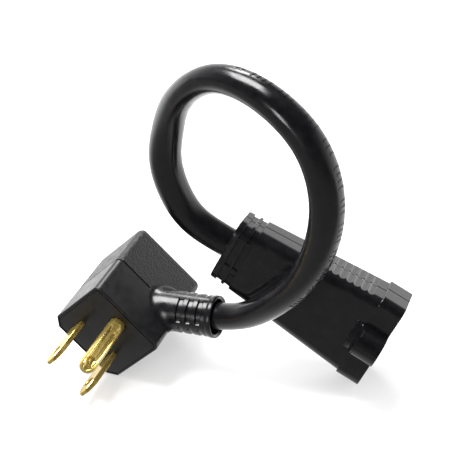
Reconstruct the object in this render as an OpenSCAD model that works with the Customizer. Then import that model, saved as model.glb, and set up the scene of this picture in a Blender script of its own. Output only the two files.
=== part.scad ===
// Short adapter lead: an angled three-pin plug, a stiff looped cord and a flat keyed connector.
// Millimetres, +Z up. The plug stands on one long chamfer and the connector leans on one rim corner.

/* [Plug housing] */
// Width across the two flat blades
plug_w = 24.6; // [24.6:0.1:26]
// Height from the blade side to the ground-pin side
plug_h = 23.3; // [23.3:0.1:24.5]
// Depth from the pin face to the back
plug_d = 30.4; // [29.4:0.2:32]
// Depth of the front shell, up to the parting line
front_d = 14; // [14:0.1:14.4]
// Chamfer along the two blade-side edges
plug_chamfer = 2.6; // [2:0.1:3]

/* [Pins] */
// How far the flat blades stand out of the face
blade_len = 15.9; // [15.9:0.1:18.2]
// How far the round ground pin stands out of the face
ground_len = 20; // [19.1:0.1:21.4]

/* [Cord] */
// Outside diameter of the cord
cord_d = 8.4; // [8:0.1:8.6]
// Diameter of one insulated core
core_d = 2.8; // [2.4:0.1:2.8]

/* [Strain relief] */
// Outside diameter of the strain relief
relief_d = 11.8; // [11.4:0.1:12.4]
// Depth of the three rows of slots
relief_slot = 0.6; // [0.3:0.1:0.8]

/* [Connector] */
// Width of the connector across its mouth rim
mouth_w = 27; // [26:0.1:28]
// Thickness of the connector at its mouth
mouth_t = 15.6; // [15.6:0.1:17]
// Width of the connector at its collar
collar_w = 19.3; // [19.3:0.1:21]
// Thickness of the connector at its collar
collar_t = 14.4; // [13:0.1:14.6]
// Depth of the grip scallops on the narrow sides
grip_depth = 0.3; // [0.2:0.1:0.6]

/* [Hidden] */
$fn = 48;

// Small sizes shared by several pieces
gap = 0.1;            // clearance between pieces that fit together
seam = 0.3;           // visible line between two shells
over = 0.5;           // how far a cut runs past a face
cord_gap = 0.15;      // clearance round the cord where it enters a housing

// Plug: the blades' centre line is y = 0, the ground pin is on the +y side, the pins point along +z
blade_pitch = 12.7;
ground_drop = 11.9;
blade_w = 6.35;
blade_t = 1.5;
blade_neck_w = 5.6;
blade_neck_len = 1.8;
blade_hole_d = 3.2;
blade_hole_z = 11.7;
ground_d = 4.75;
ground_slot = 1.6;
ground_shank_d = 4.4;  // thinner root of the ground pin inside the plug
blade_side = 6;
plug_wall = 1.8;
plug_face_t = 3;
plug_edge_r = 2;
ground_side = plug_h - blade_side;
carrier_back = 9;
barrel_mouth = 13.2;
barrel_od = 3.2;
barrel_bore = 2.1;

// Connector: x is the width, the key boss is on the +y side, the mouth is z = 0 and faces +z
rim_len = 7;
rim_step = 0.8;
body_len = 37.4;
collar_len = 6.2;
rim_r = 2.5;
collar_r = 3.8;
shell_wall = 1.4;
collar_groove = 0.6;
key_r = 4.4;
key_y = mouth_t / 2 + 1.5;
key_len = 9.5;
key_full_len = 6.9;
grip_count = 7;
grip_pitch = 2.2;
grip_start = 10.5;
grip_r = 1.9;
contact_pitch = 7.5;
contact_bore = 4.1;
contact_od = 5.3;
contact_front = 3;
contact_back = 17;
contact_barrel_back = 23;
body_back = rim_len + body_len;
connector_len = body_back + collar_len;

// Cord make-up
jacket_bore = 6.7;
core_offset = 1.7;
conductor_d = 1.8;
insulation_bore = 2;
core_lay = -437;      // total twist of the three cores along the cord, degrees
strip_len = 3.6;      // bare wire inside each crimp barrel

// Where things stand
plug_turn = 45;
plug_rest = (plug_w / 2 + blade_side - plug_chamfer) * sin(plug_turn);
connector_turn = -1.5;
connector_dip = 25.5;
connector_roll = 17.5;
connector_rest = cos(connector_dip) * ((mouth_w / 2 - rim_r) * cos(connector_roll)
                 + (mouth_t / 2 - rim_r) * sin(connector_roll) + rim_r);
connector_pos = [78.2, 25, connector_rest];
relief_rise = 5;
relief_mouth = [33, 14, 17.9];
relief_dir = [cos(relief_rise), 0, sin(relief_rise)];

// Unit directions of the connector's own axes
connector_out = [cos(connector_dip) * cos(connector_turn), cos(connector_dip) * sin(connector_turn),
                 -sin(connector_dip)];
flat_side = [sin(connector_turn), -cos(connector_turn), 0];
flat_up = [sin(connector_dip) * cos(connector_turn), sin(connector_dip) * sin(connector_turn),
           cos(connector_dip)];
connector_key = cos(connector_roll) * flat_side + sin(connector_roll) * flat_up;
connector_wide = cos(connector_roll) * flat_up - sin(connector_roll) * flat_side;

// Half the size of the mouth rim along one ground direction
function rim_reach(i) =
    (mouth_w / 2 - rim_r) * abs(connector_wide[i]) + (mouth_t / 2 - rim_r) * abs(connector_key[i])
    + rim_r * norm([connector_wide[i], connector_key[i]]);

// Brings the middle of the housings' footprint to the origin
x_reach = connector_pos.x + rim_reach(0);
y_reach = connector_pos.y + rim_reach(1) + rim_len * abs(connector_out.y);
origin_shift = [(plug_rest - x_reach) / 2, (ground_len - y_reach) / 2, 0];

// Route of the cord: straight through the strain relief, one loop, straight into the collar
route_step = 10.5;
free_route = [[43, 12.5, 22], [50.5, 10, 29.5], [57.5, 8, 37], [63, 6, 46], [67, 4.5, 55.5], [69.5, 3.5, 66],
              [69, 4, 76.5], [64.5, 5.5, 86.5], [56, 7.5, 93], [46.5, 11, 95.5], [36.5, 15.5, 94],
              [28, 19, 88.5], [21, 22, 80.5], [17.5, 24, 71], [15, 24.5, 60.5], [17, 25, 50],
              [21.5, 25.5, 40.5]];
route = concat([for (k = [-3 : 0]) relief_mouth + k * route_step * relief_dir],
               free_route,
               [for (k = [0 : 2]) connector_pos + (k * route_step - 51) * connector_out]);
rings_per_span = 2;

// ---------- curves ----------

function unit(v) = v / norm(v);

// One point of the smooth curve that a row of four route points steers
function spline_point(p, i, u) =
    (pow(1 - u, 3) * p[i] + (3 * pow(u, 3) - 6 * u * u + 4) * p[i + 1]
     + (-3 * pow(u, 3) + 3 * u * u + 3 * u + 1) * p[i + 2] + pow(u, 3) * p[i + 3]) / 6;

function spline(p, n) =
    concat([for (i = [0 : len(p) - 4]) for (k = [0 : n - 1]) spline_point(p, i, k / n)],
           [spline_point(p, len(p) - 4, 1)]);

function bezier(a, b, c, d, n) =
    [for (k = [0 : n]) let (u = k / n)
        pow(1 - u, 3) * a + 3 * u * pow(1 - u, 2) * b + 3 * u * u * (1 - u) * c + pow(u, 3) * d];

function heading(path, i) =
    unit(path[min(i + 1, len(path) - 1)] - path[max(i - 1, 0)]);

function square_to(v, t) = unit(v - (v * t) * t);

// Directions across the path, carried along it without twist
function sides_along(path, start) =
    [for (i = 0, s = square_to(start, heading(path, 0)); i < len(path);
          i = i + 1, s = square_to(s, heading(path, min(i, len(path) - 1)))) s];

function ring(centre, t, s, r, n) =
    [for (k = [0 : n - 1]) let (a = 360 * k / n) centre + r * (cos(a) * s + sin(a) * cross(t, s))];

function wall_faces(rings, n, first, inward) =
    [for (i = [0 : rings - 2]) for (k = [0 : n - 1])
        let (a = first + i * n + k, b = first + i * n + (k + 1) % n, c = b + n, d = a + n)
        for (f = inward ? [[a, b, c], [a, c, d]] : [[a, c, b], [a, d, c]]) f];

// A round solid along a path
module rod(path, side, r, n) {
    sides = sides_along(path, side);
    last = len(path) - 1;
    points = [for (i = [0 : last]) each ring(path[i], heading(path, i), sides[i], r, n)];
    ends = [[for (k = [0 : n - 1]) k], [for (k = [n - 1 : -1 : 0]) last * n + k]];
    polyhedron(points, concat(wall_faces(last + 1, n, 0, false), ends));
}

// A hollow tube along a path
module pipe(path, side, r, bore_r, n) {
    sides = sides_along(path, side);
    last = len(path) - 1;
    shift = (last + 1) * n;
    points = concat([for (i = [0 : last]) each ring(path[i], heading(path, i), sides[i], r, n)],
                    [for (i = [0 : last]) each ring(path[i], heading(path, i), sides[i], bore_r, n)]);
    start_end = [for (k = [0 : n - 1]) let (m = (k + 1) % n)
        each [[k, m, shift + m], [k, shift + m, shift + k]]];
    far = last * n;
    far_end = [for (k = [0 : n - 1]) let (m = (k + 1) % n)
        each [[far + k, shift + far + m, far + m], [far + k, shift + far + k, shift + far + m]]];
    polyhedron(points, concat(wall_faces(last + 1, n, 0, false), wall_faces(last + 1, n, shift, true),
                              start_end, far_end));
}

// ---------- placing ----------

module place_plug() {
    translate(origin_shift + [0, 0, plug_rest]) rotate([90, plug_turn, 0]) children();
}

module place_connector() {
    translate(origin_shift + connector_pos)
        rotate([0, 0, connector_turn])
            rotate([180, connector_dip - 90, 0])
                rotate([0, 0, -connector_roll])
                    children();
}

// The strain relief's own z axis runs out along the cord
module place_relief() {
    translate(origin_shift + relief_mouth) rotate([0, 90 - relief_rise, 0]) children();
}

function plug_point(p) =
    [(p.x + p.y) * cos(plug_turn), -p.z, (p.y - p.x) * sin(plug_turn) + plug_rest];

function connector_point(p) =
    connector_pos + p.x * connector_wide + p.y * connector_key + p.z * connector_out;

// ---------- plug ----------

// Outline of the plug seen from its face, drawn in by a margin
module plug_outline(inset = 0) {
    w = plug_w / 2 - inset;
    low = -blade_side + inset;
    high = ground_side - inset;
    c = plug_chamfer;
    r = plug_edge_r;
    difference() {
        polygon([[-w + c, low], [w - c, low], [w, low + c], [w, high], [-w, high], [-w, low + c]]);
        for (side = [0, 1]) mirror([side, 0]) difference() {
            translate([-w - 1, high - r]) square([r + 1, r + 1]);
            translate([-w + r, high - r]) circle(r);
        }
    }
}

// Profile of the rear, with rounded back edges, in width or height against depth
module rear_profile(low, high) {
    r = plug_edge_r;
    translate([low, -plug_d + r]) square([high - low, plug_d]);
    translate([low + r, -plug_d]) square([high - low - 2 * r, plug_d]);
    translate([low + r, -plug_d + r]) circle(r);
    translate([high - r, -plug_d + r]) circle(r);
}

module plug_block() {
    intersection() {
        translate([0, 0, -plug_d]) linear_extrude(plug_d) plug_outline();
        translate([0, 50, 0]) rotate([90, 0, 0]) linear_extrude(100)
            rear_profile(-plug_w / 2, plug_w / 2);
        translate([-50, 0, 0]) rotate([90, 0, 90]) linear_extrude(100)
            rear_profile(-blade_side, ground_side);
    }
}

module plug_cavity() {
    translate([0, 0, -plug_d + 2.4]) linear_extrude(plug_d - 2.4 - plug_face_t) plug_outline(plug_wall);
}

// Room for the strain relief's root through both shells, in the plug's own frame
module relief_hole() {
    along = 90 - plug_turn + relief_rise;
    mouth = [(relief_mouth.x - relief_mouth.z + plug_rest) * cos(plug_turn),
             (relief_mouth.x + relief_mouth.z - plug_rest) * sin(plug_turn), -relief_mouth.y];
    translate(mouth) rotate([0, 0, along]) rotate([0, 90, 0]) relief_body(gap, false);
}

module blade_slots(depth, w, t) {
    for (side = [-1, 1])
        translate([side * blade_pitch / 2 - t / 2, -w / 2, -depth]) cube([t, w, depth + over]);
}

module plug_front_shell() {
    color([0.05, 0.05, 0.055]) place_plug() difference() {
        intersection() {
            plug_block();
            translate([-50, -50, -front_d + seam / 2]) cube([100, 100, front_d]);
        }
        plug_cavity();
        blade_slots(plug_face_t + over, blade_w + 2 * gap, blade_t + 2 * gap);
        translate([0, ground_drop, -plug_face_t - over]) cylinder(d = ground_d + 2 * gap, h = plug_face_t + 2 * over);
        translate([0, ground_drop, -0.5]) cylinder(d = ground_d + 0.8, h = 1);
        relief_hole();
    }
}

module plug_rear_shell() {
    tongue = 1.6;
    color([0.06, 0.06, 0.065]) place_plug() difference() {
        union() {
            intersection() {
                plug_block();
                translate([-50, -50, -plug_d - over]) cube([100, 100, plug_d + over - front_d - seam / 2]);
            }
            translate([0, 0, -front_d - 2]) linear_extrude(2 + tongue) plug_outline(plug_wall + gap);
        }
        translate([0, 0, -plug_d + 2.4]) linear_extrude(plug_d) plug_outline(plug_wall + 1);
        relief_hole();
    }
}

module pin_carrier() {
    color([0.75, 0.74, 0.7]) place_plug() difference() {
        translate([0, 0, gap - carrier_back]) linear_extrude(carrier_back - plug_face_t - 2 * gap)
            plug_outline(plug_wall + gap);
        translate([0, 0, -plug_face_t]) blade_slots(carrier_back, blade_neck_w + 2 * gap, blade_t + 2 * gap);
        translate([0, ground_drop, -carrier_back - over]) cylinder(d = ground_shank_d + 2 * gap, h = carrier_back);
    }
}

// Crimp barrel behind a pin, open to the rear
module crimp_barrel(front, mouth) {
    difference() {
        translate([0, 0, -mouth]) cylinder(d = barrel_od, h = mouth - front);
        translate([0, 0, -mouth - over]) cylinder(d = barrel_bore, h = mouth - front - 0.6 + over);
    }
}

module flat_blade() {
    taper = 3.4;
    tip_w = 3.2;
    translate([-blade_t / 2, 0, 0]) rotate([90, 0, 90]) linear_extrude(blade_t) difference() {
        polygon([[-blade_neck_w / 2, -carrier_back], [blade_neck_w / 2, -carrier_back],
                 [blade_neck_w / 2, blade_neck_len], [blade_w / 2, blade_neck_len],
                 [blade_w / 2, blade_len - taper], [tip_w / 2, blade_len],
                 [-tip_w / 2, blade_len], [-blade_w / 2, blade_len - taper],
                 [-blade_w / 2, blade_neck_len], [-blade_neck_w / 2, blade_neck_len]]);
        translate([0, blade_hole_z]) circle(d = blade_hole_d);
    }
    crimp_barrel(carrier_back, barrel_mouth);
}

module line_blade() {
    color([0.83, 0.68, 0.32]) place_plug() translate([blade_pitch / 2, 0, 0]) flat_blade();
}

module neutral_blade() {
    color([0.83, 0.68, 0.32]) place_plug() translate([-blade_pitch / 2, 0, 0]) flat_blade();
}

// Rolled pin with a lengthwise channel on its outer side and a domed tip
module ground_pin() {
    r = ground_d / 2;
    channel_depth = 1.5;
    color([0.83, 0.68, 0.32]) place_plug() translate([0, ground_drop, 0]) {
        difference() {
            union() {
                translate([0, 0, -carrier_back]) cylinder(d = ground_shank_d, h = carrier_back + over);
                cylinder(r = r, h = ground_len - r);
                translate([0, 0, ground_len - r]) sphere(r);
            }
            translate([-ground_slot / 2, r - channel_depth, 0]) cube([ground_slot, channel_depth + 1, ground_len + 1]);
        }
        crimp_barrel(carrier_back, barrel_mouth);
    }
}

// Revolved body of the strain relief, mouth at z = 0 and root on the -z side
module relief_body(grow, slotted) {
    r = relief_d / 2;
    difference() {
        rotate_extrude() polygon([[0, -24], [r + 0.9 + grow, -24], [r + 0.9 + grow, -15.5], [r + grow, -11.5],
                                  [r + grow, -1.6], [r + 0.15 + grow, -1.4], [r + 0.15 + grow, -0.2],
                                  [r - 0.05 + grow, 0], [0, 0]]);
        if (slotted)
            for (row = [0 : 2]) relief_slot_row(-3.9 - 3 * row);
    }
}

// One row of shallow slots round the relief, broken by four ribs
module relief_slot_row(z) {
    r = relief_d / 2;
    difference() {
        translate([0, 0, z - 0.8]) difference() {
            cylinder(r = r + 1, h = 1.6);
            translate([0, 0, -over]) cylinder(r = r - relief_slot, h = 1.6 + 2 * over);
        }
        for (a = [0, 90]) rotate([0, 0, a]) translate([-r - 2, -0.8, z - 2]) cube([2 * r + 4, 1.6, 4]);
    }
}

module strain_relief() {
    color([0.04, 0.04, 0.045]) difference() {
        place_relief() difference() {
            relief_body(0, true);
            translate([0, 0, -25]) cylinder(d = cord_d + 2 * cord_gap, h = 26);
            translate([0, 0, -5]) cylinder(d = cord_d + 1.4, h = 6);
        }
        place_plug() translate([0, 0, -plug_d + 2.4]) linear_extrude(plug_d - 2.4 - plug_face_t)
            plug_outline(plug_wall - gap);
    }
}

// ---------- cord ----------

jacket_path = spline(route, rings_per_span);
jacket_sides = sides_along(jacket_path, [0, -1, 0]);
jacket_last = len(jacket_path) - 1;

// Position of one core inside the jacket at ring i
function core_in_jacket(angle, i) =
    let (t = heading(jacket_path, i), s = jacket_sides[i], a = angle + core_lay * i / jacket_last)
    jacket_path[i] + core_offset * (cos(a) * s + sin(a) * cross(t, s));

// Whole run of one core, from its crimp barrel in the plug to the one in the connector
function core_path(angle, pin, socket) =
    let (start = core_in_jacket(angle, 0),
         end = core_in_jacket(angle, jacket_last),
         out = heading(jacket_path, 0),
         onward = heading(jacket_path, jacket_last),
         pin_back = plug_point(pin),
         socket_back = connector_point(socket))
    concat(bezier(pin_back, pin_back + [0, 9, 0], start - 3.6 * out, start, 10),
           [for (i = [1 : jacket_last - 1]) core_in_jacket(angle, i)],
           bezier(end, end + 6 * onward, socket_back - 6 * connector_out, socket_back, 6));

line_path = core_path(90, [blade_pitch / 2, 0, -barrel_mouth - seam],
                      [-contact_pitch, 0, -contact_barrel_back - seam]);
neutral_path = core_path(330, [-blade_pitch / 2, 0, -barrel_mouth - seam],
                         [contact_pitch, 0, -contact_barrel_back - seam]);
ground_path = core_path(210, [0, ground_drop, -barrel_mouth - seam],
                        [0, 0, -contact_barrel_back - seam]);

// The bare wire runs on past both ends of its insulation into the crimp barrels
function stripped(path) =
    concat([path[0] + [0, -strip_len, 0]], path, [path[len(path) - 1] + strip_len * connector_out]);

module cord_jacket() {
    color([0.03, 0.03, 0.035]) translate(origin_shift)
        pipe(jacket_path, [0, -1, 0], cord_d / 2, jacket_bore / 2, 12);
}

module insulation(path) {
    translate(origin_shift) pipe(path, [1, 0, 0], core_d / 2, insulation_bore / 2, 8);
}

module conductor(path) {
    translate(origin_shift) rod(stripped(path), [1, 0, 0], conductor_d / 2, 8);
}

module line_insulation() {
    color([0.08, 0.08, 0.08]) insulation(line_path);
}

module neutral_insulation() {
    color([0.85, 0.85, 0.83]) insulation(neutral_path);
}

module ground_insulation() {
    color([0.1, 0.45, 0.18]) insulation(ground_path);
}

module line_conductor() {
    color([0.72, 0.45, 0.2]) conductor(line_path);
}

module neutral_conductor() {
    color([0.72, 0.45, 0.2]) conductor(neutral_path);
}

module ground_conductor() {
    color([0.72, 0.45, 0.2]) conductor(ground_path);
}

// ---------- connector ----------

module rounded_rect(w, t, r) {
    translate([-w / 2 + r, -t / 2]) square([w - 2 * r, t]);
    translate([-w / 2, -t / 2 + r]) square([w, t - 2 * r]);
    for (x = [-1, 1]) for (y = [-1, 1]) translate([x * (w / 2 - r), y * (t / 2 - r)]) circle(r);
}

module slab(z, h, w, t, r) {
    translate([0, 0, z]) linear_extrude(h) rounded_rect(w, t, r);
}

// Tapered body between the rim and the collar, drawn in by a wall
module tapered_body(inset) {
    hull() {
        slab(-rim_len - 0.1, 0.1, mouth_w - 2 * rim_step - 2 * inset, mouth_t - 2 * inset, rim_r, $fn = 32);
        slab(-body_back, 0.1, collar_w + 0.8 - 2 * inset, collar_t + 0.2 - 2 * inset, collar_r - inset, $fn = 32);
    }
}

// Collar with two grooves, each broken by three bridges
module collar() {
    flange = 1.9;
    groove = 1.7;
    ring_len = 0.9;
    slab(-connector_len, flange, collar_w, collar_t, collar_r);
    slab(-connector_len + flange, collar_len - flange,
         collar_w - 2 * collar_groove, collar_t - 2 * collar_groove, collar_r - collar_groove);
    slab(-connector_len + flange + groove, ring_len, collar_w + 0.4, collar_t + 0.1, collar_r);
    intersection() {
        slab(-connector_len + flange, collar_len - flange, collar_w, collar_t, collar_r);
        union() {
            translate([-4.6, -20, -connector_len]) cube([1.8, 40, collar_len]);
            translate([collar_w / 2 - 4.4, -20, -connector_len]) cube([0.8, 40, collar_len]);
            translate([-20, -0.5, -connector_len]) cube([21, 1, collar_len]);
        }
    }
}

module key_boss() {
    crest = key_y + key_r;
    foot = mouth_t / 2 - 0.3;
    root = mouth_t / 2 - 1;
    intersection() {
        translate([0, 0, -key_len]) linear_extrude(key_len) {
            translate([0, key_y]) circle(key_r);
            translate([-key_r, root]) square([2 * key_r, key_y - root]);
        }
        translate([-10, 0, 0]) rotate([90, 0, 90]) linear_extrude(20)
            polygon([[0, 0], [crest + 1, 0], [crest + 1, -key_full_len], [crest, -key_full_len],
                     [foot, -key_len], [0, -key_len]]);
    }
}

module grip_scallops() {
    taper = (mouth_w - 2 * rim_step - collar_w - 0.8) / 2 / body_len;
    for (side = [-1, 1]) for (k = [0 : grip_count - 1]) {
        z = grip_start + k * grip_pitch;
        x = mouth_w / 2 - rim_step - taper * (z - rim_len) + grip_r - grip_depth;
        translate([side * x, 0, -z]) rotate([90, 0, 0]) cylinder(r = grip_r, h = 40, center = true);
    }
}

// Both shells before they are parted, with the room inside them
module connector_hull() {
    difference() {
        union() {
            slab(-rim_len, rim_len, mouth_w, mouth_t, rim_r);
            tapered_body(0);
            collar();
            key_boss();
        }
        grip_scallops();
        slab(-rim_len - over, rim_len + 2 * over, mouth_w - 2 * rim_step - 2 * shell_wall,
             mouth_t - 2 * shell_wall, rim_r);
        tapered_body(shell_wall);
        translate([0, 0, -connector_len - over]) cylinder(d = cord_d + 2 * cord_gap, h = 20);
        translate([0, 0, -connector_len]) cylinder(d1 = cord_d + 1, d2 = cord_d + 2 * cord_gap, h = 2);
    }
}

module connector_key_shell() {
    color([0.05, 0.05, 0.055]) place_connector() intersection() {
        connector_hull();
        translate([-30, seam / 4, -60]) cube([60, 30, 70]);
    }
}

module connector_plain_shell() {
    color([0.05, 0.05, 0.055]) place_connector() intersection() {
        connector_hull();
        translate([-30, -30 - seam / 4, -60]) cube([60, 30, 70]);
    }
}

// Rigid block that fills the mouth and holds the three contacts
module contact_carrier() {
    recess = 0.4;
    w = mouth_w - 2 * rim_step - 2 * shell_wall - 2 * gap;
    t = mouth_t - 2 * shell_wall - 2 * gap;
    color([0.1, 0.1, 0.11]) place_connector() difference() {
        union() {
            slab(-rim_len, rim_len - recess, w, t, rim_r);
            slab(-contact_back, contact_back - rim_len, w - 2.6, t - 3.6, 2);
        }
        for (k = [-1 : 1]) translate([k * contact_pitch, 0, 0]) {
            translate([0, 0, -contact_front - over]) cylinder(d = contact_bore + 0.5, h = contact_front + 1);
            translate([0, 0, -contact_back - over])
                cylinder(d = contact_od + 2 * gap, h = contact_back - contact_front + over + gap);
        }
    }
}

// Round socket tube with two spring slits, and a crimp barrel behind it
module socket_contact() {
    slit_len = 6;
    difference() {
        translate([0, 0, -contact_back]) cylinder(d = contact_od, h = contact_back - contact_front);
        translate([0, 0, -contact_back + 1]) cylinder(d = contact_bore, h = contact_back);
        translate([-contact_od, -0.2, -contact_front - slit_len]) cube([2 * contact_od, 0.4, slit_len + over]);
    }
    crimp_barrel(contact_back, contact_barrel_back);
}

module line_contact() {
    color([0.83, 0.68, 0.32]) place_connector() translate([-contact_pitch, 0, 0]) socket_contact();
}

module neutral_contact() {
    color([0.83, 0.68, 0.32]) place_connector() translate([contact_pitch, 0, 0]) socket_contact();
}

module ground_contact() {
    color([0.83, 0.68, 0.32]) place_connector() socket_contact();
}

plug_front_shell();
plug_rear_shell();
pin_carrier();
line_blade();
neutral_blade();
ground_pin();
strain_relief();
cord_jacket();
line_insulation();
neutral_insulation();
ground_insulation();
line_conductor();
neutral_conductor();
ground_conductor();
connector_key_shell();
connector_plain_shell();
contact_carrier();
line_contact();
neutral_contact();
ground_contact();
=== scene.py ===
import math

import bmesh
import bpy
from mathutils import Matrix, Vector


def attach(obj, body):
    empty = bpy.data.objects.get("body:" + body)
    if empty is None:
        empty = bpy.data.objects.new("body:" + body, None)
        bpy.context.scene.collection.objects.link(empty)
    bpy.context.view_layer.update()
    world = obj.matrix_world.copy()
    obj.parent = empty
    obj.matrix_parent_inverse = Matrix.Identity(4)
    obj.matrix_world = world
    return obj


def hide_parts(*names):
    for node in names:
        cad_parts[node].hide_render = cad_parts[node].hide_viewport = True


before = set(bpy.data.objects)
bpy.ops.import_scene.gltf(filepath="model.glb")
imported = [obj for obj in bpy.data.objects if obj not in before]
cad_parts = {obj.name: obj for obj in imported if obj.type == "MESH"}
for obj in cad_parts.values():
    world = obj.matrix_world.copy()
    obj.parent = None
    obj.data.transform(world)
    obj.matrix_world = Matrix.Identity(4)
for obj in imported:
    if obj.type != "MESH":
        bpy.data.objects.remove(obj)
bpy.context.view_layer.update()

MM = 0.001

# ---------- driving sizes, as in the CAD part, in millimetres ----------

PLUG_HALF_W = 12.3
PLUG_BLADE_SIDE = 6.0
PLUG_GROUND_SIDE = 17.3
PLUG_DEPTH = 30.4
PLUG_PARTING = 14.0
PLUG_CHAMFER = 2.6
PLUG_WALL = 1.8
PLUG_FACE = 3.0
BLADE_X = 6.35
BLADE_LENGTH = 15.9
BLADE_WIDTH = 6.35
BLADE_THICK = 1.5
BLADE_NECK = 5.6
BLADE_HOLE_R = 1.6
BLADE_HOLE_Z = 11.7
GROUND_Y = 11.9
GROUND_R = 2.375
GROUND_LENGTH = 20.0
SHANK_R = 2.2
CARRIER_BACK = 9.0
BARREL_BACK = 13.2
BARREL_R = 1.6
BARREL_BORE = 1.05
CORD_R = 4.2
JACKET_BORE = 3.35
CORD_HOLE_R = 4.35
RELIEF_R = 5.9
RELIEF_HOLE_R = 6.95
MOUTH_HALF_W = 13.5
MOUTH_HALF_T = 7.8
MOUTH_R = 2.5
RIM = 7.0
RIM_STEP = 0.8
BODY_BACK = 44.4
COLLAR_BACK = 50.6
COLLAR_HALF_W = 9.65
COLLAR_HALF_T = 7.2
COLLAR_R = 3.8
SHELL_WALL = 1.4
FIT_GAP = 0.1
HALF_SEAM = 0.15


def turn(degrees, axis):
    return Matrix.Rotation(math.radians(degrees), 4, axis)


# The plug stands on its long chamfer, turned by 45 degrees; the connector leans on one rim corner
plug_rest = (PLUG_HALF_W + PLUG_BLADE_SIDE - PLUG_CHAMFER) * math.sin(math.radians(45))
lean = turn(-1.5, "Z") @ turn(25.5 - 90, "Y") @ turn(180, "X") @ turn(-17.5, "Z")
wide, key_way, mouth_way = (lean.to_3x3() @ Vector(v) for v in ((1, 0, 0), (0, 1, 0), (0, 0, 1)))


def rim_reach(i):
    """Half the size of the mouth rim along one row axis."""
    return ((MOUTH_HALF_W - MOUTH_R) * abs(wide[i]) + (MOUTH_HALF_T - MOUTH_R) * abs(key_way[i])
            + MOUTH_R * math.hypot(wide[i], key_way[i]))


connector_at = Vector((78.2, 25, rim_reach(2)))
relief_at = Vector((33, 14, 17.9))
relief_way = Vector((math.cos(math.radians(5)), 0, math.sin(math.radians(5))))
shift = Vector(((plug_rest - connector_at.x - rim_reach(0)) / 2,
                (GROUND_LENGTH - connector_at.y - rim_reach(1) - RIM * abs(mouth_way.y)) / 2, 0))
PLUG = Matrix.Translation(shift + Vector((0, 0, plug_rest))) @ turn(45, "Y") @ turn(90, "X")
CONNECTOR = Matrix.Translation(shift + connector_at) @ lean
RELIEF = Matrix.Translation(shift + relief_at) @ turn(85, "Y")

# ---------- camera ----------

# Place of the camera before the shift that centres the object, and its angles in degrees
CAMERA_AT = Vector((153.24, -237.89, 243.92))
CAMERA_TURN = 24.52
CAMERA_DIP = 35.15
CAMERA_ROLL = -3.79
camera_data = bpy.data.cameras.new("camera")
camera_data.lens = 100
camera_data.sensor_width = 36
camera = bpy.data.objects.new("camera", camera_data)
aim = turn(CAMERA_TURN, "Z") @ turn(90 - CAMERA_DIP, "X") @ turn(CAMERA_ROLL, "Z")
camera.matrix_world = Matrix.Translation((shift + CAMERA_AT) * MM) @ aim
bpy.context.scene.collection.objects.link(camera)
bpy.context.scene.camera = camera


# ---------- materials ----------

# Most of a noise pattern lies between these two values
PATTERN_LOW = 0.3
PATTERN_HIGH = 0.7
# Slow waviness and polished patches of moulded surfaces, in millimetres
WAVE_SIZE = 6.0
WAVE_HEIGHT = 0.015
PATCH_SIZE = 2.2
# Fine drawn lines and mottled tarnish of metal, in millimetres
LINE_SIZE = 0.12
LINE_HEIGHT = 0.0002
TARNISH_SIZE = 1.6
TARNISH_HEIGHT = 0.001


def new_material(name, colour, roughness, metallic=0.0, specular=0.5):
    """A principled material; returns the material, its node tree and its shader."""
    material = bpy.data.materials.new(name)
    material.use_nodes = True
    tree = material.node_tree
    shader = tree.nodes["Principled BSDF"]
    shader.inputs["Base Color"].default_value = (*colour, 1)
    shader.inputs["Roughness"].default_value = roughness
    shader.inputs["Metallic"].default_value = metallic
    shader.inputs["Specular IOR Level"].default_value = specular
    return material, tree, shader


def noise(tree, size_mm, detail=2.0, stretch=(1, 1, 1), rough=0.5):
    """A noise pattern whose features are about size_mm across, drawn out along any axis."""
    where = tree.nodes.new("ShaderNodeTexCoord")
    fit = tree.nodes.new("ShaderNodeMapping")
    fit.inputs["Scale"].default_value = stretch
    pattern = tree.nodes.new("ShaderNodeTexNoise")
    pattern.inputs["Scale"].default_value = 1 / (size_mm * MM)
    pattern.inputs["Detail"].default_value = detail
    pattern.inputs["Roughness"].default_value = rough
    tree.links.new(where.outputs["Object"], fit.inputs["Vector"])
    tree.links.new(fit.outputs["Vector"], pattern.inputs["Vector"])
    return pattern.outputs["Fac"]


def map_range(tree, value, start, end, low, high):
    """Carries one number range over to another and stops at its ends."""
    node = tree.nodes.new("ShaderNodeMapRange")
    for name, number in (("From Min", start), ("From Max", end), ("To Min", low), ("To Max", high)):
        node.inputs[name].default_value = number
    tree.links.new(value, node.inputs["Value"])
    return node.outputs["Result"]


def spread(tree, value, low, high):
    """Stretches a pattern's middle range over low to high."""
    return map_range(tree, value, PATTERN_LOW, PATTERN_HIGH, low, high)


def bumps(tree, shader, layers):
    """Stacks bump layers, each a pattern and its height in millimetres."""
    normal = None
    for value, height in layers:
        node = tree.nodes.new("ShaderNodeBump")
        node.inputs["Strength"].default_value = 1
        node.inputs["Distance"].default_value = height * MM
        tree.links.new(value, node.inputs["Height"])
        if normal:
            tree.links.new(normal, node.inputs["Normal"])
        normal = node.outputs["Normal"]
    tree.links.new(normal, shader.inputs["Normal"])


def tint(tree, shader, value, dark, light):
    """Colours the shader between two tones by a pattern."""
    ramp = tree.nodes.new("ShaderNodeValToRGB")
    ramp.color_ramp.elements[0].position = PATTERN_LOW
    ramp.color_ramp.elements[0].color = (*dark, 1)
    ramp.color_ramp.elements[1].position = PATTERN_HIGH
    ramp.color_ramp.elements[1].color = (*light, 1)
    tree.links.new(value, ramp.inputs["Fac"])
    tree.links.new(ramp.outputs["Color"], shader.inputs["Base Color"])


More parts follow.
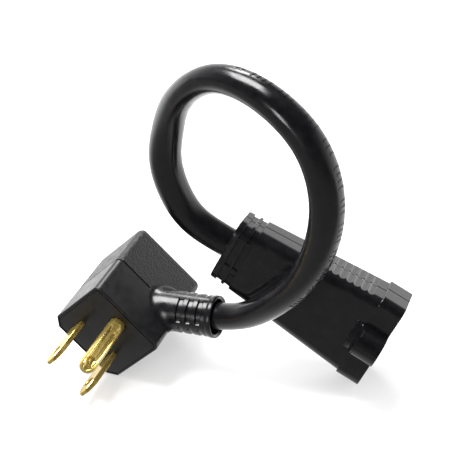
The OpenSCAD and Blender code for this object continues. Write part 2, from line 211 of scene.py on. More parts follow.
def moulded(name, tone, roughness, grain_mm, grain_height):
    """Moulded plastic or rubber: fine grain, slow waviness and patches that are slightly more polished."""
    material, tree, shader = new_material(name, tone, roughness)
    grain = noise(tree, grain_mm, 3.0, rough=0.6)
    waves = noise(tree, WAVE_SIZE, 1.0)
    patches = noise(tree, PATCH_SIZE, 4.0)
    bumps(tree, shader, [(waves, WAVE_HEIGHT), (grain, grain_height)])
    tree.links.new(spread(tree, patches, roughness - 0.05, roughness + 0.07), shader.inputs["Roughness"])
    tint(tree, shader, patches, [c * 0.8 for c in tone], [c * 1.25 for c in tone])
    return material


def metal(name, dark, light, roughness, along):
    """Drawn metal: fine lines along one direction, and a faint mottled tarnish."""
    material, tree, shader = new_material(name, light, roughness, metallic=0.88)
    lines = noise(tree, LINE_SIZE, 2.0, stretch=along)
    tarnish = noise(tree, TARNISH_SIZE, 4.0)
    bumps(tree, shader, [(tarnish, TARNISH_HEIGHT), (lines, LINE_HEIGHT)])
    tree.links.new(spread(tree, tarnish, roughness - 0.02, roughness + 0.05), shader.inputs["Roughness"])
    tint(tree, shader, tarnish, dark, light)
    return material


plug_front_black = moulded("plug_front_black", (0.008, 0.008, 0.009), 0.34, 0.16, 0.006)
plug_rear_black = moulded("plug_rear_black", (0.009, 0.009, 0.010), 0.38, 0.62, 0.26)
relief_black = moulded("relief_black", (0.006, 0.006, 0.007), 0.22, 0.5, 0.012)
jacket_black = moulded("jacket_black", (0.004, 0.004, 0.005), 0.2, 0.35, 0.006)
connector_black = moulded("connector_black", (0.005, 0.005, 0.006), 0.17, 0.2, 0.002)
insert_black = moulded("insert_black", (0.022, 0.022, 0.024), 0.5, 0.2, 0.01)
carrier_tan = moulded("carrier_tan", (0.5, 0.47, 0.4), 0.5, 0.25, 0.01)
line_black = moulded("line_black", (0.02, 0.02, 0.02), 0.35, 0.3, 0.005)
neutral_white = moulded("neutral_white", (0.75, 0.75, 0.72), 0.35, 0.3, 0.005)
ground_green = moulded("ground_green", (0.03, 0.28, 0.09), 0.35, 0.3, 0.005)
pin_brass = metal("pin_brass", (0.80, 0.56, 0.13), (0.96, 0.74, 0.25), 0.2, (1, 0.04, 1))
contact_brass = metal("contact_brass", (0.66, 0.46, 0.16), (0.82, 0.62, 0.26), 0.3, (0.04, 1, 1))
copper = metal("copper", (0.60, 0.27, 0.13), (0.86, 0.45, 0.26), 0.28, (1, 1, 0.1))


# ---------- meshes ----------

def loft(rings, around=False):
    """Solid through rings of equal length: capped, or joined round from the last ring to the first."""
    count = len(rings[0])
    verts = [point for ring in rings for point in ring]
    faces = []
    for i in range(len(rings) if around else len(rings) - 1):
        a = i * count
        b = (i + 1) % len(rings) * count
        faces += [(a + k, a + (k + 1) % count, b + (k + 1) % count, b + k) for k in range(count)]
    if not around:
        last = len(verts) - count
        faces += [tuple(range(count)), tuple(range(last, last + count))]
    return verts, faces


def block(low, high):
    """Box between two opposite corners."""
    corners = [(low[0], low[1]), (high[0], low[1]), (high[0], high[1]), (low[0], high[1])]
    return loft([[(x, y, z) for x, y in corners] for z in (low[2], high[2])])


def full_turn(sides):
    """Evenly spaced angles once round."""
    return [2 * math.pi * k / sides for k in range(sides)]


def round_ring(r, z, angles, centre=(0, 0)):
    """Round ring at one depth, with a point at each of the angles."""
    return [(centre[0] + r * math.cos(a), centre[1] + r * math.sin(a), z) for a in angles]


def drum(stations, centre=(0, 0), sides=72):
    """Round solid through stations of (radius, z)."""
    return loft([round_ring(r, z, full_turn(sides), centre) for r, z in stations])


def raw_object(name, solids, place):
    """An object from solids in a part's own millimetres, put in place in the row frame."""
    shape = bmesh.new()
    for verts, faces in solids:
        made = [shape.verts.new((place @ Vector(v)) * MM) for v in verts]
        for face in faces:
            shape.faces.new([made[i] for i in face])
    bmesh.ops.recalc_face_normals(shape, faces=shape.faces)
    mesh = bpy.data.meshes.new(name)
    shape.to_mesh(mesh)
    shape.free()
    obj = bpy.data.objects.new(name, mesh)
    bpy.context.scene.collection.objects.link(obj)
    return obj


def carve(obj, cutters):
    """Cuts solids, each with its own placing, out of an object for good."""
    tools = [raw_object("cutter", [solid], place) for solid, place in cutters]
    for tool in tools:
        cut = obj.modifiers.new("cut", "BOOLEAN")
        cut.operation = "DIFFERENCE"
        cut.solver = "EXACT"
        cut.object = tool
    scene_now = bpy.context.evaluated_depsgraph_get()
    carved = bpy.data.meshes.new_from_object(obj.evaluated_get(scene_now))
    obj.modifiers.clear()
    obj.data = carved
    for tool in tools:
        bpy.data.objects.remove(tool)


def add_solid(obj, solid, place):
    """Joins one more solid to an object's mesh."""
    extra = raw_object("extra", [solid], place)
    shape = bmesh.new()
    shape.from_mesh(obj.data)
    shape.from_mesh(extra.data)
    shape.to_mesh(obj.data)
    shape.free()
    bpy.data.objects.remove(extra)


def merge_near(mesh):
    """Joins points that all but coincide, so that no sliver is left in the mesh."""
    shape = bmesh.new()
    shape.from_mesh(mesh)
    bmesh.ops.remove_doubles(shape, verts=shape.verts, dist=0.002 * MM)
    bmesh.ops.dissolve_degenerate(shape, edges=shape.edges, dist=0.001 * MM)
    shape.to_mesh(mesh)
    shape.free()


def finish_piece(obj, material, nodes, crease=38):
    """Shading, material and the piece's place in the table."""
    mesh = obj.data
    merge_near(mesh)
    mesh.materials.clear()
    mesh.materials.append(material)
    mesh.shade_smooth()
    mesh.set_sharp_from_angle(angle=math.radians(crease))
    normals = obj.modifiers.new("normals", "WEIGHTED_NORMAL")
    normals.keep_sharp = True
    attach(obj, "root")
    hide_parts(*nodes)
    return obj


# ---------- cord ----------

# The route is straight at both ends, with points ROUTE_STEP apart, and follows a list of points between them
ROUTE_STEP = 10.5
# The last straight stretch starts this far behind the connector's mouth
ROUTE_BACK = 51
FREE_ROUTE = [(43, 12.5, 22), (50.5, 10, 29.5), (57.5, 8, 37), (63, 6, 46), (67, 4.5, 55.5),
              (69.5, 3.5, 66), (69, 4, 76.5), (64.5, 5.5, 86.5), (56, 7.5, 93), (46.5, 11, 95.5),
              (36.5, 15.5, 94), (28, 19, 88.5), (21, 22, 80.5), (17.5, 24, 71), (15, 24.5, 60.5),
              (17, 25, 50), (21.5, 25.5, 40.5)]
# How wide the jacket looks at each point of the route: it flattens a little where it is bent
ROUTE_WIDTH = [0.95, 0.95, 0.93, 0.92, 0.90, 0.91, 0.93, 0.96, 1.03, 1.06, 1.07, 1.04, 1.0, 0.95,
               0.88, 0.86, 0.94, 1.05, 1.09, 1.08, 1.04, 1.02, 1.0, 1.0]
FLAT_WAY = Vector((0.34, -0.74, 0.58))
# Where the jacket looks narrower it is thicker the other way, by this share of the change
THICKENING = 0.7
route = ([relief_at + k * ROUTE_STEP * relief_way for k in range(-3, 1)]
         + [Vector(p) for p in FREE_ROUTE]
         + [connector_at + (k * ROUTE_STEP - ROUTE_BACK) * mouth_way for k in range(3)])


def spline(points, steps):
    """Smooth curve steered by the points, which may be vectors or numbers."""
    curve = []
    for i in range(len(points) - 3):
        for k in range(steps + (i == len(points) - 4)):
            u = k / steps
            weights = ((1 - u) ** 3, 3 * u ** 3 - 6 * u * u + 4, -3 * u ** 3 + 3 * u * u + 3 * u + 1, u ** 3)
            terms = [w * points[i + j] / 6 for j, w in enumerate(weights)]
            curve.append(terms[0] + terms[1] + terms[2] + terms[3])
    return curve


def headings(path):
    """Direction of a path at each of its points."""
    last = len(path) - 1
    return [(path[min(i + 1, last)] - path[max(i - 1, 0)]).normalized() for i in range(last + 1)]


CORD_STEPS = 14
CORD_SIDES = 48
# The cores lie twisted in the jacket and swell it a little; the twist is in radians over the whole cord
CORE_TWIST = 7.6
CORE_SWELL = 0.035
# The raised marks run up the outer side of the loop, on the side turned to the camera
MARK_START = 5 * CORD_STEPS
MARK_COUNT = 52
MARK_ANGLE = -0.62
MARK_HALF_THICK = 0.28
MARK_REACH = 0.22
LONG_MARK_REACH = 0.30
cord_path = [p + shift for p in spline(route, CORD_STEPS)]
cord_width = spline(ROUTE_WIDTH, CORD_STEPS)
cord_heading = headings(cord_path)
cord_across = [t.cross(FLAT_WAY).normalized() for t in cord_heading]
cord_up = [t.cross(s) for t, s in zip(cord_heading, cord_across)]


def cord_point(i, angle, r):
    """Point of the cord's surface at ring i; angle 0 is across the flattened side."""
    w = cord_width[i]
    return cord_path[i] + r * (w * math.cos(angle) * cord_across[i]
                               + (1 + THICKENING - THICKENING * w) * math.sin(angle) * cord_up[i])


def cord_jacket():
    """Tube with a faint three-sided swell that follows the twisted cores."""
    turns = full_turn(CORD_SIDES)
    last = len(cord_path) - 1
    outer = []
    for i in range(last + 1):
        lay = CORE_TWIST * i / last
        outer.append([cord_point(i, a, CORD_R + CORE_SWELL * math.cos(3 * (a + lay))) for a in turns])
    inner = [[cord_point(i, a, JACKET_BORE) for a in turns] for i in range(last, -1, -1)]
    obj = raw_object("cord_jacket_piece", [loft(outer + inner, around=True)], Matrix.Identity(4))
    return finish_piece(obj, jacket_black, ["cord_jacket"])


def cord_marks():
    """Plain raised ticks in groups, which stand for the moulded marking along the outer side."""
    solids = []
    for n in range(MARK_COUNT):
        if n % 9 in (4, 8):
            continue
        i = MARK_START + 2 * n
        reach = MARK_REACH if n % 3 else LONG_MARK_REACH
        ring_sets = []
        for lift, shrink in ((-0.15, 1.0), (0.10, 0.95), (0.14, 0.6)):
            loop = []
            for da, dz in ((-1, -1), (0, -1.2), (1, -1), (1, 1), (0, 1.2), (-1, 1)):
                angle = MARK_ANGLE + reach * da * shrink
                base = cord_point(i, angle, CORD_R + lift)
                loop.append(base + cord_heading[i] * (MARK_HALF_THICK * dz * shrink))
            ring_sets.append(loop)
        solids.append(loft(ring_sets))
    obj = raw_object("cord_marks", solids, Matrix.Identity(4))
    return finish_piece(obj, jacket_black, [])


jacket = cord_jacket()
marks = cord_marks()


# ---------- plug ----------

CHAMFER_ROUND = 0.5
SIDE_ROUND = 2.0
FACE_ROUND = 0.42
BACK_ROUND = 2.0
BACK_WALL = 2.4
TONGUE = 1.6
# Tightest corner that an inset outline keeps
LEAST_ROUND = 0.12
# Edges of the two halves at the parting line, as (distance in from the side, distance from the line)
PARTING_EDGE = ((0.0, 0.36), (0.06, 0.24), (0.2, HALF_SEAM))
# Shallow groove round the pin face, as (distance in from the side, z)
FACE_GROOVE = [(1.15, 0.0), (1.05, -0.04), (1.0, -0.28), (0.66, -0.28), (0.62, -0.04), (0.52, 0.0)]
# Crimp barrel behind each pin, as (radius, z)
CRIMP_BARREL = [(BARREL_R, -CARRIER_BACK), (BARREL_R, -BARREL_BACK), (BARREL_BORE, -BARREL_BACK),
                (BARREL_BORE, -CARRIER_BACK - 0.6)]
BARREL_SIDES = 40
VALLEY_ANGLE = math.radians(46)
VALLEY_DEPTH = 1.05
GROUND_SIDES = 96
# Slots of the strain relief: three rows along z, broken by four ribs
SLOT_ROWS = 3
SLOT_FIRST = 3.9
SLOT_PITCH = 3
SLOT_HALF_WIDTH = 0.62
SLOT_WALL = 0.24
SLOT_DEPTH = 0.62
RIB_HALF_ANGLE = 11.5
RIB_WALL_ANGLE = 3.2
RELIEF_SIDES = 144
RELIEF_STEP = 0.12
# The strain relief leaves the plug between its ground side and its flank: where its axis crosses each of
# them, how steeply, the radius at which its foot meets them, and the most that the foot can measure in length
GROUND_SIDE_AT = -14.15
GROUND_SIDE_SLOPE = 0.839
FLANK_AT = -9.69
FLANK_SLOPE = -1.191
ENTRY_R = 6.9
FOOT_LENGTH = 3.6


def plug_outline(inset, z):
    """Ring round the plug at one depth, drawn in by a margin and with its corners rounded."""
    w, c = PLUG_HALF_W, PLUG_CHAMFER
    low, high = -PLUG_BLADE_SIDE, PLUG_GROUND_SIDE
    corners = [(-w + c, low, CHAMFER_ROUND), (w - c, low, CHAMFER_ROUND), (w, low + c, CHAMFER_ROUND),
               (w, high, SIDE_ROUND), (-w, high, SIDE_ROUND), (-w, low + c, CHAMFER_ROUND)]
    steps = 6
    ring = []
    for i, (x, y, r) in enumerate(corners):
        here = Vector((x, y))
        before = (here - Vector(corners[i - 1][:2])).normalized()
        after = (Vector(corners[(i + 1) % len(corners)][:2]) - here).normalized()
        n1 = Vector((-before.y, before.x))
        n2 = Vector((-after.y, after.x))
        way = (n1 + n2) / (1 + n1.dot(n2))
        radius = max(r - inset, LEAST_ROUND)
        centre = here + (inset + radius) * way
        start = math.atan2(-n1.y, -n1.x)
        swing = math.atan2(before.x * after.y - before.y * after.x, before.dot(after))
        for k in range(steps + 1):
            angle = start + swing * k / steps
            ring.append((centre.x + radius * math.cos(angle), centre.y + radius * math.sin(angle), z))
    return ring


def rounding(radius, inset, z, way, steps=5):
    """Stations of (inset, z) round an edge: way is -1 going back from the face, 1 going towards the back."""
    out = []
    for k in range(steps + 1):
        a = math.pi / 2 * k / steps
        if way < 0:
            out.append((inset + radius * (1 - math.sin(a)), z - radius * (1 - math.cos(a))))
        else:
            out.append((inset + radius * (1 - math.cos(a)), z - radius * math.sin(a)))
    return out


def blade_slots():
    """Cutters for the two slots that the blades come through."""
    half_w = BLADE_WIDTH / 2 + FIT_GAP
    half_t = BLADE_THICK / 2 + FIT_GAP
    return [(block((s * BLADE_X - half_t, -half_w, -PLUG_FACE - 1), (s * BLADE_X + half_t, half_w, 1)), PLUG)
            for s in (-1, 1)]


def relief_hole():
    """Cutter for the hole that the strain relief sits in, as far as it can reach into the plug."""
    return drum([(RELIEF_HOLE_R, -30), (RELIEF_HOLE_R, -2)]), RELIEF


def plug_front():
    edge = rounding(FACE_ROUND, 0.0, 0.0, -1)
    lip = [(inset, -PLUG_PARTING + off) for inset, off in PARTING_EDGE]
    inside = [(PLUG_WALL, -PLUG_PARTING + HALF_SEAM), (PLUG_WALL, -PLUG_FACE)]
    stations = FACE_GROOVE + edge + lip + inside
    obj = raw_object("plug_front", [loft([plug_outline(*s) for s in stations])], PLUG)
    hole_r = GROUND_R + FIT_GAP
    ground_hole = (drum([(hole_r, -PLUG_FACE - 1), (hole_r, 1)], (0, GROUND_Y)), PLUG)
    ring_recess = (drum([(2.6, -0.5), (2.75, 1)], (0, GROUND_Y)), PLUG)
    carve(obj, blade_slots() + [ground_hole, ring_recess, relief_hole()])
    return finish_piece(obj, plug_front_black, ["plug_front_shell"])


def plug_rear():
    tongue_top = -PLUG_PARTING + TONGUE
    tongue_in = PLUG_WALL + 1
    tongue_out = PLUG_WALL + FIT_GAP
    inside = [(tongue_in, -PLUG_DEPTH + BACK_WALL), (tongue_in, tongue_top), (tongue_out, tongue_top),
              (tongue_out, -PLUG_PARTING - HALF_SEAM)]
    lip = [(inset, -PLUG_PARTING - off) for inset, off in reversed(PARTING_EDGE)]
    back = rounding(BACK_ROUND, 0.0, -PLUG_DEPTH + BACK_ROUND, 1, 8)
    obj = raw_object("plug_rear", [loft([plug_outline(*s) for s in inside + lip + back])], PLUG)
    carve(obj, [relief_hole()])
    return finish_piece(obj, plug_rear_black, ["plug_rear_shell"])


def blade_ring(z, w, t):
    """Section of a folded blade: two leaves with a fine gap between them along both edges."""
    x, y = t / 2, w / 2
    bevel = 0.14
    half_gap = 0.05
    gap_depth = 0.16
    side = [(x, -y + bevel), (x, y - bevel), (x - bevel, y), (half_gap, y), (0, y - gap_depth),
            (-half_gap, y), (-x + bevel, y)]
    return [(px, py, z) for px, py in side + [(-px, -py) for px, py in side]]


def blade(name, node, x):
    """Flat blade with a narrower root, a tapered tip and a bevelled hole, and its crimp barrel."""
    root = [(z, BLADE_NECK, BLADE_THICK) for z in (-CARRIER_BACK, 1.7)] + [(1.85, 6.3, BLADE_THICK)]
    flat = [(z, BLADE_WIDTH, BLADE_THICK) for z in (2.0, 12.6)]
    tip = [(12.9, 6.2, BLADE_THICK), (14.9, 4.1, 1.36), (15.6, 3.3, 1.2), (BLADE_LENGTH, 2.9, 0.9)]
    place = PLUG @ Matrix.Translation((x, 0, 0))
    obj = raw_object(name, [loft([blade_ring(*s) for s in root + flat + tip])], place)
    hole_place = place @ Matrix.Translation((0, 0, BLADE_HOLE_Z)) @ turn(90, "Y")
    hole = drum([(2.1, -1.25), (BLADE_HOLE_R, -0.65), (BLADE_HOLE_R, 0.65), (2.1, 1.25)], sides=48)
    carve(obj, [(hole, hole_place)])
    add_solid(obj, drum(CRIMP_BARREL, sides=BARREL_SIDES), place)
    return finish_piece(obj, pin_brass, [node], crease=30)


def ground_ring(z, r, depth):
    """Section of the rolled pin: round, with a smooth open valley along its outer side."""
    ring = []
    for a in full_turn(GROUND_SIDES):
        aside = min(abs(a - 2 * math.pi * round(a / (2 * math.pi))) / VALLEY_ANGLE, 1)
        across = r * math.sin(a)
        up = r * math.cos(a) - depth * (1 - aside ** 4) ** 2
        ring.append((across, up + GROUND_Y, z))
    return ring


def ground_pin():
    """Rolled pin: closed at its root, a valley along its outer side, and a scoop in its domed tip."""
    stations = [(-CARRIER_BACK, SHANK_R, 0), (0.0, SHANK_R, 0), (0.0, GROUND_R, 0)]
    valley = [(0.8, 0.0), (1.5, 0.05), (2.2, 0.25), (3.0, 0.6), (3.8, 0.88), (4.8, 1.02), (12, VALLEY_DEPTH),
              (16, VALLEY_DEPTH)]
    stations += [(z, GROUND_R, depth) for z, depth in valley]
    dome = GROUND_R + 0.4
    dome_start = GROUND_LENGTH - GROUND_R - 0.4
    # The dome stops just short of a point, and is a little blunter than a half ball
    dome_end = 0.97
    bluntness = 0.85
    steps = 18
    for k in range(steps + 1):
        a = math.pi / 2 * dome_end * k / steps
        r = GROUND_R * math.cos(a) ** bluntness
        stations.append((dome_start + dome * math.sin(a), r, VALLEY_DEPTH * (1 - k / steps) ** 0.5))
    obj = raw_object("ground_pin_piece", [loft([ground_ring(*s) for s in stations])], PLUG)
    scoop_r = 1.45
    scoop_reach = 2.05
    scoop_z = 17.2
    scoop_y = GROUND_Y + 1.75
    turns = [math.pi * k / 24 for k in range(1, 24)]
    profile = [(scoop_r * math.sin(a), scoop_z - scoop_reach * math.cos(a)) for a in turns]
    scoop = drum(profile, (0, scoop_y), 48)
    carve(obj, [(scoop, PLUG)])
    add_solid(obj, drum(CRIMP_BARREL, (0, GROUND_Y), BARREL_SIDES), PLUG)
    return finish_piece(obj, pin_brass, ["ground_pin"], crease=60)


def relief_entry(angle):
    """How far back along the relief its surface enters the plug, at one angle round it."""
    aside = ENTRY_R * math.cos(angle)
    return min(GROUND_SIDE_AT + GROUND_SIDE_SLOPE * aside, FLANK_AT + FLANK_SLOPE * aside)


def slot_depth(angle, z):
    """Depth of the three rows of slots, broken by four ribs and rounded at their ends."""
    from_rib = abs(((math.degrees(angle) + 45) % 90) - 45)
    for row in range(SLOT_ROWS):
        dz = abs(z + SLOT_FIRST + SLOT_PITCH * row)
        past = max(dz - SLOT_HALF_WIDTH, 0) / SLOT_WALL
        aside = max(RIB_HALF_ANGLE - from_rib, 0) / RIB_WALL_ANGLE
        level = 1 - min(math.hypot(past, aside), 1)
        if level > 0:
            return SLOT_DEPTH * level * level * (3 - 2 * level)
    return 0.0


def strain_relief():
    """Round sleeve: a thick lip at the mouth, the slotted part, and a foot that flares onto the plug."""
    turns = full_turn(RELIEF_SIDES)
    lip = [(5.35, -0.35), (5.5, -0.12), (5.75, 0.0), (5.95, -0.08), (6.07, -0.3), (6.07, -1.35),
           (5.98, -1.55), (RELIEF_R, -1.75)]
    rings = [round_ring(r, z, turns) for r, z in lip]
    z = -2.0
    slots_end = -10.95
    while z > slots_end:
        ring = []
        for a in turns:
            r = RELIEF_R - slot_depth(a, z)
            ring.append((r * math.cos(a), r * math.sin(a), z))
        rings.append(ring)
        z -= RELIEF_STEP
    foot_start = z
    steps = 16
    for k in range(1, steps + 3):
        ring = []
        for a in turns:
            entry = relief_entry(a)
            flare = 1.0 + 0.35 * max(math.sin(a), 0)
            foot = min(FOOT_LENGTH, foot_start - entry)
            if k <= steps:
                here = foot_start + (entry - foot_start) * k / steps
            else:
                here = entry - 0.5 * (k - steps)
            t = max(min((entry + foot - here) / foot, 1), 0)
            r = RELIEF_R + flare * (1 - math.sqrt(1 - t * t))
            ring.append((r * math.cos(a), r * math.sin(a), here))
        rings.append(ring)
    root = [relief_entry(a) - 1 for a in turns]
    rings.append([(CORD_HOLE_R * math.cos(a), CORD_HOLE_R * math.sin(a), z) for a, z in zip(turns, root)])
    bore = [(CORD_HOLE_R, -6.0), (4.9, -5.2), (4.95, -0.7), (5.15, -0.42)]
    rings += [round_ring(r, z, turns) for r, z in bore]
    obj = raw_object("strain_relief_piece", [loft(rings, around=True)], RELIEF)
    return finish_piece(obj, relief_black, ["strain_relief"], crease=50)


plug_front()
plug_rear()
blade("line_blade_piece", "line_blade", BLADE_X)
blade("neutral_blade_piece", "neutral_blade", -BLADE_X)
ground_pin()
strain_relief()

# ---------- connector ----------

# The key boss is at full height up to KEY_FULL behind the mouth and ends at KEY_FOOT. Its end has a low apron
# that rises to KEY_APRON of the height over KEY_BEND of that stretch, and then a steep wall
KEY_R = 4.4
KEY_CENTRE = MOUTH_HALF_T + 1.5
KEY_FULL = 6.9
KEY_FOOT = 9.5
KEY_BEND = 0.72
KEY_APRON = 0.3
GRIP_START = 10.5
GRIP_PITCH = 2.2
GRIP_COUNT = 7
GRIP_R = 1.9
GRIP_DEPTH = 0.3
GRIP_END = GRIP_START + GRIP_PITCH * GRIP_COUNT
# The two grooves round the collar, each from its back to its front, and the bridges across them
GROOVES = ((48.7, 47.0), (46.1, 44.4))
GROOVE_DEPTH = 0.6
BRIDGES = ((-4.6, -2.8), (5.4, 6.25))
SEAM_BRIDGE = 0.6
# Half the gap between the two shells, and the bevel along it
SEAM = 0.1
SEAM_BEVEL = 0.12
BROAD_POINTS = 45
ARC_POINTS = 20
SIDE_POINTS = 5
# Broad-side points go from gathered to even between these distances behind the mouth
EVEN_START = 10
EVEN_END = 40
# Rings are this far apart on the boss's end and along the grips
BOSS_STEP = 0.2
GRIP_STEP = 0.11
# The rim's rounded rear edge, as (z, share of the step down to the body)
STEP_PROFILE = ((-6.7, 0.0), (-6.78, 0.04), (-6.9, 0.14), (-7.0, 0.36), (-7.0, 1.0))


def body_size(z):
    """Half width, half thickness and corner radius of the connector at one depth."""
    if z >= -RIM:
        return MOUTH_HALF_W, MOUTH_HALF_T, MOUTH_R
    t = (-RIM - z) / (COLLAR_BACK - RIM)
    return (MOUTH_HALF_W - RIM_STEP + (COLLAR_HALF_W - MOUTH_HALF_W + RIM_STEP) * t,
            MOUTH_HALF_T + (COLLAR_HALF_T - MOUTH_HALF_T) * t, MOUTH_R + (COLLAR_R - MOUTH_R) * t)


def key_height(x, z, half_t):
    """How far the key boss stands out of the broad side."""
    if abs(x) > KEY_R or z < -KEY_FOOT:
        return 0.0
    t = min((z + KEY_FOOT) / (KEY_FOOT - KEY_FULL), 1)
    rise = KEY_APRON * t / KEY_BEND if t < KEY_BEND else 1 - (1 - KEY_APRON) * (1 - t) / (1 - KEY_BEND)
    return rise * (KEY_CENTRE + math.sqrt(KEY_R ** 2 - x * x) - half_t)


def broad_places(z, reach):
    """Where the points of a broad side lie: gathered at the key's walls near the mouth, even further back."""
    half = (BROAD_POINTS - 1) // 2
    # Three steps outside the boss, one point at the foot of its wall, and the rest over the boss
    outside = 3
    foot = outside + 1
    first_over = foot + 1
    gathered = []
    for k in range(half + 1):
        if k <= outside:
            gathered.append(reach + (KEY_R + 0.3 - reach) * k / outside)
        elif k == foot:
            gathered.append(KEY_R + 0.0005)
        else:
            gathered.append(KEY_R * math.cos(math.pi / 2 * (k - first_over) / (half - first_over)))
    even = [reach * (1 - k / half) for k in range(half + 1)]
    t = min(max((-z - EVEN_START) / (EVEN_END - EVEN_START), 0), 1)
    right = [g + (e - g) * t for g, e in zip(gathered, even)]
    return right + [-x for x in reversed(right[:-1])]


def half_ring(z, half_w, half_t, r, key, inset=0.0):
    """Half a section, from the +x seam over the broad side to the -x seam."""
    a, b, r = half_w - inset, half_t - inset, max(r - inset, 0.1)
    points = [(a - SEAM_BEVEL, SEAM)]
    for k in range(SIDE_POINTS):
        points.append((a, SEAM + SEAM_BEVEL + (b - r - SEAM - SEAM_BEVEL) * k / SIDE_POINTS))
    for k in range(ARC_POINTS):
        angle = math.pi / 2 * k / ARC_POINTS
        points.append((a - r + r * math.cos(angle), b - r + r * math.sin(angle)))
    left = [(-x, y) for x, y in reversed(points)]
    top = [(x, b + (key_height(x, z, b) if key else 0)) for x in broad_places(z, a - r)]
    return points + top + left


def scalloped(x, z):
    """Draws a point of a narrow side in to the nearest grip scallop."""
    nearest = round((-z - GRIP_START) / GRIP_PITCH)
    nearest = min(max(nearest, 0), GRIP_COUNT - 1)
    dz = -z - GRIP_START - nearest * GRIP_PITCH
    if abs(dz) >= GRIP_R:
        return x
    limit = body_size(z)[0] + GRIP_R - GRIP_DEPTH - math.sqrt(GRIP_R ** 2 - dz * dz)
    return math.copysign(min(abs(x), limit), x)


def bridged(x, y):
    """True where a bridge crosses the collar's grooves."""
    over_broad_side = any(low < x < high for low, high in BRIDGES)
    return over_broad_side or (x < 0 and abs(y) < SEAM_BRIDGE)


def outer_ring(z, key, inset=0.0, groove=0.0):
    """Outside section of a shell at one depth, drawn in by an inset and, between bridges, by a groove."""
    half_w, half_t, r = body_size(z)
    plain = half_ring(z, half_w, half_t, r, key, inset)
    cut = half_ring(z, half_w, half_t, r, key, inset + groove) if groove else plain
    ring = []
    for (x, y), (gx, gy) in zip(plain, cut):
        if groove and not bridged(x, y):
            x, y = gx, gy
        if GRIP_START - GRIP_R < -z < GRIP_END:
            x = scalloped(x, z)
        ring.append((x, y, z))
    return ring


def inner_ring(z, hole=False):
    """Inside section of a shell at one depth: the hollow, or the hole for the cord."""
    if hole:
        return [(x, y, z) for x, y in half_ring(z, CORD_HOLE_R, CORD_HOLE_R, 4.0, False)]
    half_w, half_t, r = body_size(min(z, -RIM - 0.01))
    return [(x, y, z) for x, y in half_ring(z, half_w, half_t, r, False, SHELL_WALL)]


def step_down(key):
    """The rounded rear edge of the rim, down to the body."""
    rim = outer_ring(-RIM, key)
    body = outer_ring(-RIM - 0.001, key)
    rings = []
    for z, down in STEP_PROFILE:
        rings.append([(x + (bx - x) * down, y + (by - y) * down, z)
                      for (x, y, _), (bx, by, _) in zip(rim, body)])
    return rings


def outer_stations(key):
    """Rings of a shell's outside, from the mouth back to the collar's end."""
    rings = [outer_ring(0.0, key, 0.16), outer_ring(-0.05, key, 0.05), outer_ring(-0.16, key),
             outer_ring(-3.5, key), outer_ring(-6.5, key)]
    rings += step_down(key)
    bend = -KEY_FOOT + KEY_BEND * (KEY_FOOT - KEY_FULL)
    rings += [outer_ring(bend + 0.3, key), outer_ring(bend + 0.03, key), outer_ring(bend - 0.03, key)]
    z = bend - BOSS_STEP
    while z > -KEY_FOOT - 0.1:
        rings.append(outer_ring(z, key))
        z -= BOSS_STEP
    while z > -GRIP_END:
        rings.append(outer_ring(z, key))
        z -= GRIP_STEP
    rings += [outer_ring(-z, key) for z in (28, 32, 36, 40, 44)]
    # The groove walls are upright: each is a pair of rings a hair apart, with a small bevel at its top
    hair = 0.001
    bevel_in = 0.06
    bevel_along = 0.08
    rings += [outer_ring(-BODY_BACK + 0.1, key), outer_ring(-BODY_BACK + hair, key, 0.1)]
    for k, (back, front) in enumerate(reversed(GROOVES)):
        if k:
            rings += [outer_ring(-front + bevel_along, key), outer_ring(-front + hair, key, bevel_in)]
        rings += [outer_ring(z, key, 0.0, GROOVE_DEPTH) for z in (-front - hair, -back + hair)]
        rings += [outer_ring(-back - hair, key, bevel_in), outer_ring(-back - bevel_along, key)]
    rings += [outer_ring(-COLLAR_BACK + 0.3, key), outer_ring(-COLLAR_BACK + 0.09, key, 0.09),
              outer_ring(-COLLAR_BACK, key, 0.3)]
    return rings


def connector_shell(name, node, key):
    """One half of the connector: outside, inside, and the flat faces along the seam that join them."""
    outside = outer_stations(key)
    inside = [inner_ring(z, True) for z in (-COLLAR_BACK, -BODY_BACK - 1, -BODY_BACK + 1.4)]
    inside += [inner_ring(z) for z in (-BODY_BACK + 1.5, -30, -RIM, 0)]
    sections = outside + inside
    if not key:
        sections = [[(x, -y, z) for x, y, z in ring] for ring in sections]
    count = len(sections[0])
    verts = [p for ring in sections for p in ring]
    faces = []
    for i in range(len(sections)):
        a = i * count
        b = (i + 1) % len(sections) * count
        faces += [(a + k, a + k + 1, b + k + 1, b + k) for k in range(count - 1)]
    for edge in (0, count - 1):
        out = [i * count + edge for i in range(len(outside))]
        inn = [i * count + edge for i in range(len(outside), len(sections))]
        faces.append(tuple(out + inn))
    obj = raw_object(name, [(verts, faces)], CONNECTOR)
    return finish_piece(obj, connector_black, [node], crease=32)


connector_shell("connector_key_half", "connector_key_shell", True)
connector_shell("connector_plain_half", "connector_plain_shell", False)

# ---------- carried-over CAD nodes ----------

NODE_MATERIALS = {
    "pin_carrier": carrier_tan, "contact_carrier": insert_black,
    "line_contact": contact_brass, "neutral_contact": contact_brass, "ground_contact": contact_brass,
    "line_insulation": line_black, "neutral_insulation": neutral_white, "ground_insulation": ground_green,
    "line_conductor": copper, "neutral_conductor": copper, "ground_conductor": copper}
for node_name, finish in NODE_MATERIALS.items():
    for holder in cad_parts[node_name].material_slots:
        holder.material = finish

# ---------- floor and light ----------

# In reflections the floor goes from dark in front to bright behind, over this many metres each way
FLOOR_FRONT = 0.05
FLOOR_GLOW = 1.6
FLOOR_BLEND = 0.03
# For all other rays it glows evenly, and its grey is lighter to the camera than to the rest
FLOOR_WHITE = 0.45
FLOOR_GREY_SEEN = 0.6
FLOOR_GREY = 0.1
FLOOR_HALF_SIZE = 3
# The floor lies this far under the object, in metres
FLOOR_Z = -0.0003
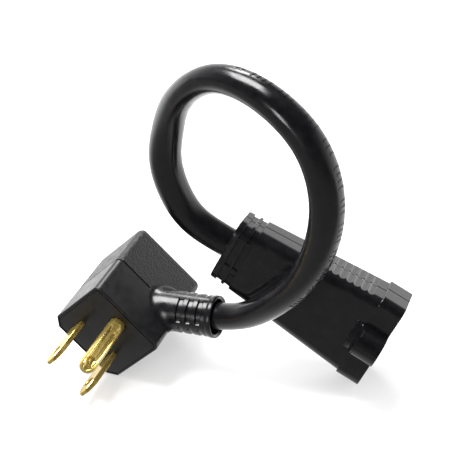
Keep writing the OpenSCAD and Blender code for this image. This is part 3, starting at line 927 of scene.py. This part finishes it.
# In reflections the sky glows low down and at the back; LOW, HIGH and BLEND are on the unit sphere
SKY_GLOW = 1.4
SKY_TOP = 0.12
SKY_LOW = 0.15
SKY_HIGH = 0.6
SKY_FRONT = 0.08
SKY_BLEND = 0.4
# Softboxes: name, place, what it points at, size and power
SOFTBOXES = (
    ("key_light", (-0.36, 0.07, 0.85), (0, 0, 0.04), (0.45, 0.55), 14.0),
    ("back_light", (-0.36, 0.78, 0.71), (0, 0, 0.08), (0.36, 0.30), 5.0),
    ("front_light", (-0.30, -0.90, 0.32), (0, 0, 0.04), (0.18, 0.30), 1.8))


def multiply(tree, a, b):
    """Product of two sockets."""
    node = tree.nodes.new("ShaderNodeMath")
    node.operation = "MULTIPLY"
    tree.links.new(a, node.inputs[0])
    tree.links.new(b, node.inputs[1])
    return node.outputs["Value"]


def pick(tree, chooser, otherwise, chosen):
    """The chosen number where the chooser is 1, else the other one; each is a socket or a plain number."""
    node = tree.nodes.new("ShaderNodeMix")
    tree.links.new(chooser, node.inputs["Factor"])
    for name, item in (("A", otherwise), ("B", chosen)):
        if isinstance(item, (int, float)):
            node.inputs[name].default_value = item
        else:
            tree.links.new(item, node.inputs[name])
    return node.outputs["Result"]


def paper_floor():
    """White paper that stays white to the camera and is darker in reflections towards the front."""
    mesh = bpy.data.meshes.new("floor")
    signs = ((-1, -1), (1, -1), (1, 1), (-1, 1))
    corners = [(x * FLOOR_HALF_SIZE, y * FLOOR_HALF_SIZE, FLOOR_Z) for x, y in signs]
    mesh.from_pydata(corners, [], [(0, 1, 2, 3)])
    floor = bpy.data.objects.new("floor", mesh)
    bpy.context.scene.collection.objects.link(floor)
    paper, tree, shader = new_material("paper", (0.9, 0.9, 0.9), 0.9, specular=0.0)
    shader.inputs["Emission Color"].default_value = (1, 1, 1, 1)
    rays = tree.nodes.new("ShaderNodeLightPath")
    where = tree.nodes.new("ShaderNodeTexCoord")
    parts = tree.nodes.new("ShaderNodeSeparateXYZ")
    tree.links.new(where.outputs["Object"], parts.inputs["Vector"])
    depth = map_range(tree, parts.outputs["Y"], -FLOOR_BLEND, FLOOR_BLEND, FLOOR_FRONT, FLOOR_GLOW)
    glow = pick(tree, rays.outputs["Is Glossy Ray"], FLOOR_WHITE, depth)
    tree.links.new(glow, shader.inputs["Emission Strength"])
    grey = pick(tree, rays.outputs["Is Camera Ray"], FLOOR_GREY, FLOOR_GREY_SEEN)
    tone = tree.nodes.new("ShaderNodeCombineColor")
    for name in ("Red", "Green", "Blue"):
        tree.links.new(grey, tone.inputs[name])
    tree.links.new(tone.outputs["Color"], shader.inputs["Base Color"])
    mesh.materials.append(paper)


def studio_world():
    """White all round to most rays; in reflections mostly a low glow at the back."""
    world = bpy.data.worlds.new("studio")
    bpy.context.scene.world = world
    world.use_nodes = True
    tree = world.node_tree
    sky = tree.nodes["Background"]
    sky.inputs["Color"].default_value = (1, 1, 1, 1)
    rays = tree.nodes.new("ShaderNodeLightPath")
    where = tree.nodes.new("ShaderNodeTexCoord")
    parts = tree.nodes.new("ShaderNodeSeparateXYZ")
    tree.links.new(where.outputs["Generated"], parts.inputs["Vector"])
    height = map_range(tree, parts.outputs["Z"], SKY_LOW, SKY_HIGH, SKY_GLOW, SKY_TOP)
    front = map_range(tree, parts.outputs["Y"], -SKY_BLEND, SKY_BLEND, SKY_FRONT, 1.0)
    glow = multiply(tree, height, front)
    tree.links.new(pick(tree, rays.outputs["Is Glossy Ray"], 1.0, glow), sky.inputs["Strength"])


def softbox(name, place, target, size, power):
    """Soft rectangular light that the camera doesn't see."""
    data = bpy.data.lights.new(name, "AREA")
    data.shape = "RECTANGLE"
    data.size, data.size_y = size
    data.energy = power
    box = bpy.data.objects.new(name, data)
    box.location = place
    box.rotation_euler = (Vector(target) - Vector(place)).to_track_quat("-Z", "Y").to_euler()
    box.visible_camera = False
    bpy.context.scene.collection.objects.link(box)


paper_floor()
studio_world()
for light in SOFTBOXES:
    softbox(*light)

bpy.context.scene.view_settings.view_transform = "Standard"
